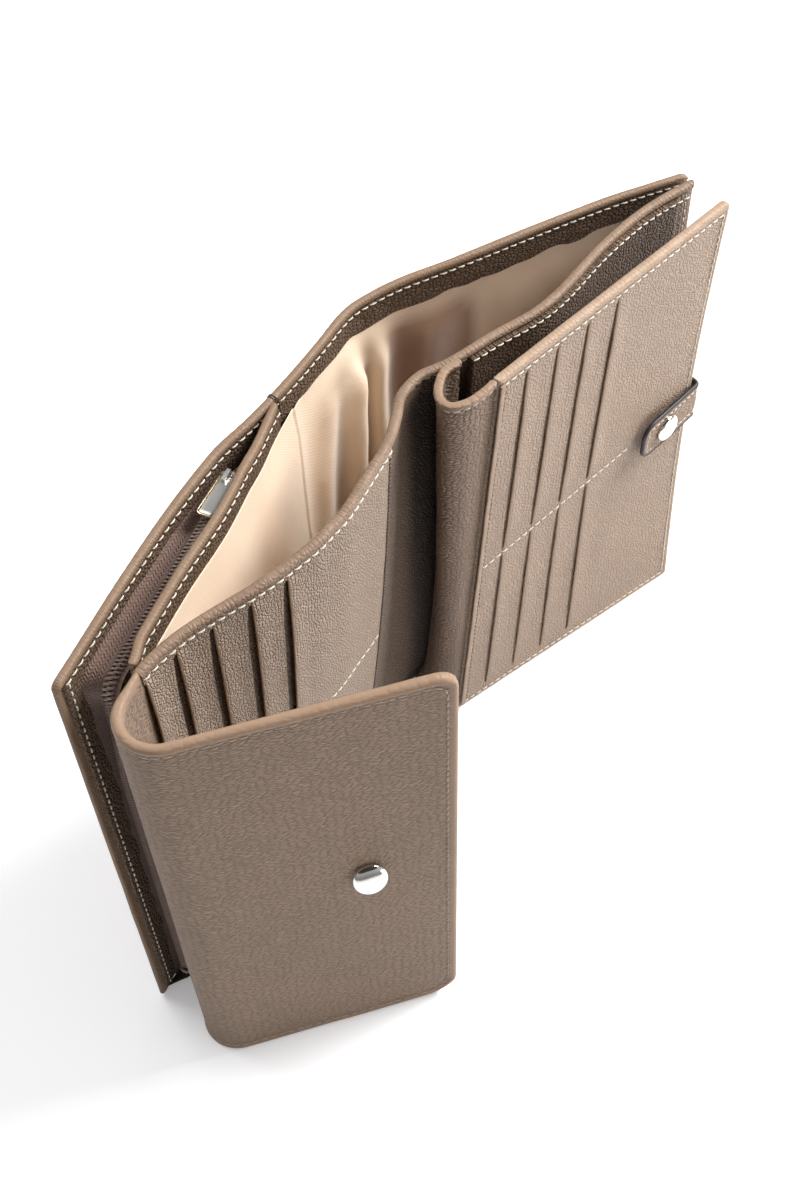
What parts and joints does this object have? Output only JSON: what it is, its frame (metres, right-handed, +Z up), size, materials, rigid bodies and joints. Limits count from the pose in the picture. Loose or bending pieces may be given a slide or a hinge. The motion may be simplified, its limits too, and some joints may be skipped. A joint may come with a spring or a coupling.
{
  "type": "travel wallet",
  "caption": "Grained leather travel wallet standing open: zip pocket, satin note pocket, card wall, hinged card page with a snap strap, and a wrap-round snap flap.",
  "frame": {"origin": "on the table under the middle of the spine leather", "axes": "+X along the open covers towards the card page half, -Y the card side, +Z up along the spine"},
  "size_m": [0.2633, 0.112, 0.19],
  "materials": {
    "pocket_inner_wall": "taupe grained leather",
    "note_lining_back_left": "champagne satin twill lining",
    "note_facing_back_left": "dark pebbled leather strip",
    "card_wall_left": "taupe grained leather",
    "note_lining_front_left": "champagne satin twill lining",
    "card_leaf_left_1": "taupe grained leather",
    "card_leaf_left_2": "taupe grained leather",
    "card_leaf_left_3": "taupe grained leather",
    "card_leaf_left_4": "taupe grained leather",
    "card_leaf_left_5": "taupe grained leather",
    "card_leaf_left_6": "taupe grained leather",
    "zip_tape_inner": "dark brown woven zip tape",
    "zip_chain": "dark brown nylon coil",
    "zip_stop_bottom": "polished pale metal",
    "cover_spine": "taupe grained leather",
    "note_lining_spine": "champagne satin twill lining",
    "note_facing_spine": "dark pebbled leather strip",
    "front_fold": "taupe grained leather",
    "front_fold_lining": "champagne satin twill lining",
    "cover_left": "taupe grained leather",
    "pocket_facing": "dark pebbled leather strip",
    "pocket_lining": "champagne satin twill lining",
    "zip_tape_outer": "dark brown woven zip tape",
    "pocket_floor": "champagne satin twill lining",
    "cover_right": "taupe grained leather",
    "note_lining_back_right": "champagne satin twill lining",
    "note_facing_back_right": "dark pebbled leather strip",
    "card_wall_right": "taupe grained leather",
    "note_lining_front_right": "champagne satin twill lining",
    "slip_pocket_1": "taupe grained leather",
    "slip_pocket_2": "taupe grained leather",
    "cover_snap_stud": "polished pale metal",
    "page_hinge": "taupe grained leather",
    "page_back": "taupe grained leather",
    "page_board": "stiffening board, hidden",
    "page_leaf_1": "taupe grained leather",
    "page_leaf_2": "taupe grained leather",
    "page_leaf_3": "taupe grained leather",
    "page_leaf_4": "taupe grained leather",
    "page_leaf_5": "taupe grained leather",
    "page_snap_stud": "polished pale metal",
    "strap_anchor": "taupe grained leather",
    "strap_bend": "taupe grained leather",
    "strap_tab": "taupe grained leather",
    "strap_snap_cap": "polished pale metal",
    "strap_snap_socket": "polished pale metal",
    "flap_bend": "taupe grained leather",
    "flap_outer": "taupe grained leather",
    "flap_board": "stiffening board, hidden",
    "flap_lining": "taupe grained leather",
    "flap_snap_cap": "polished pale metal",
    "flap_snap_socket": "polished pale metal",
    "zip_slider": "polished pale metal",
    "zip_pull": "polished pale metal"
  },
  "bodies": {
    "left_leaf": {"pocket_inner_wall": "pocket_inner_wall", "note_lining_back_left": "note_lining_back_left", "note_facing_back_left": "note_facing_back_left", "card_wall_left": "card_wall_left", "note_lining_front_left": "note_lining_front_left", "card_leaf_left_1": "card_leaf_left_1", "card_leaf_left_2": "card_leaf_left_2", "card_leaf_left_3": "card_leaf_left_3", "card_leaf_left_4": "card_leaf_left_4", "card_leaf_left_5": "card_leaf_left_5", "card_leaf_left_6": "card_leaf_left_6", "zip_tape_inner": "zip_tape_inner", "zip_chain": "zip_chain", "zip_stop_bottom": "zip_stop_bottom", "cover_spine": "cover_spine", "note_lining_spine": "note_lining_spine", "note_facing_spine": "note_facing_spine", "front_fold": "front_fold", "front_fold_lining": "front_fold_lining"},
    "pocket_cover": {"cover_left": "cover_left", "pocket_facing": "pocket_facing", "pocket_lining": "pocket_lining", "zip_tape_outer": "zip_tape_outer", "pocket_floor": "pocket_floor"},
    "right_leaf": {"cover_right": "cover_right", "note_lining_back_right": "note_lining_back_right", "note_facing_back_right": "note_facing_back_right", "card_wall_right": "card_wall_right", "note_lining_front_right": "note_lining_front_right", "slip_pocket_1": "slip_pocket_1", "slip_pocket_2": "slip_pocket_2", "cover_snap_stud": "cover_snap_stud"},
    "page": {"page_hinge": "page_hinge", "page_back": "page_back", "page_board": "page_board", "page_leaf_1": "page_leaf_1", "page_leaf_2": "page_leaf_2", "page_leaf_3": "page_leaf_3", "page_leaf_4": "page_leaf_4", "page_leaf_5": "page_leaf_5", "page_snap_stud": "page_snap_stud", "strap_anchor": "strap_anchor"},
    "strap": {"strap_bend": "strap_bend", "strap_tab": "strap_tab", "strap_snap_cap": "strap_snap_cap", "strap_snap_socket": "strap_snap_socket"},
    "flap": {"flap_bend": "flap_bend", "flap_outer": "flap_outer", "flap_board": "flap_board", "flap_lining": "flap_lining", "flap_snap_cap": "flap_snap_cap", "flap_snap_socket": "flap_snap_socket"},
    "zip_slider": {"zip_slider": "zip_slider"},
    "zip_pull": {"zip_pull": "zip_pull"}
  },
  "joints": [
    {"name": "spine_fold", "type": "hinge", "parent": "left_leaf", "child": "right_leaf", "pos_m": [0, -0.018, 0], "axis": [0, 0, -1], "range_deg": [-20, 65], "deforming": ["cover_spine", "note_lining_spine", "note_facing_spine", "front_fold", "front_fold_lining"]},
    {"name": "zip_pocket_gape", "type": "hinge", "parent": "left_leaf", "child": "pocket_cover", "pos_m": [-0.0358, -0.0078, 0], "axis": [0, 0, -1], "range_deg": [-1, 12], "deforming": ["zip_tape_outer", "pocket_floor"]},
    {"name": "flap_swing", "type": "hinge", "parent": "left_leaf", "child": "flap", "pos_m": [-0.11815, -0.06008, 0], "axis": [0, 0, -1], "range_deg": [-25, 130], "deforming": ["flap_bend"]},
    {"name": "page_turn", "type": "hinge", "parent": "right_leaf", "child": "page", "pos_m": [0.016, -0.038, 0], "axis": [0, 0, 1], "range_deg": [-120, 1], "deforming": ["page_hinge"]},
    {"name": "strap_swing", "type": "hinge", "parent": "page", "child": "strap", "pos_m": [0.12899, -0.04893, 0.1045], "axis": [0, 0, 1], "range_deg": [0, 160], "deforming": ["strap_bend"]},
    {"name": "zip_slide", "type": "slide", "parent": "left_leaf", "child": "zip_slider", "axis": [-0.9349, -0.3549, 0], "range_m": [0, 0.05], "deforming": ["zip_chain"]},
    {"name": "pull_swing", "type": "hinge", "parent": "zip_slider", "child": "zip_pull", "pos_m": [-0.05256, -0.01503, 0.18575], "axis": [-0.3549, 0.9349, 0], "range_deg": [0, 100]}
  ]
}
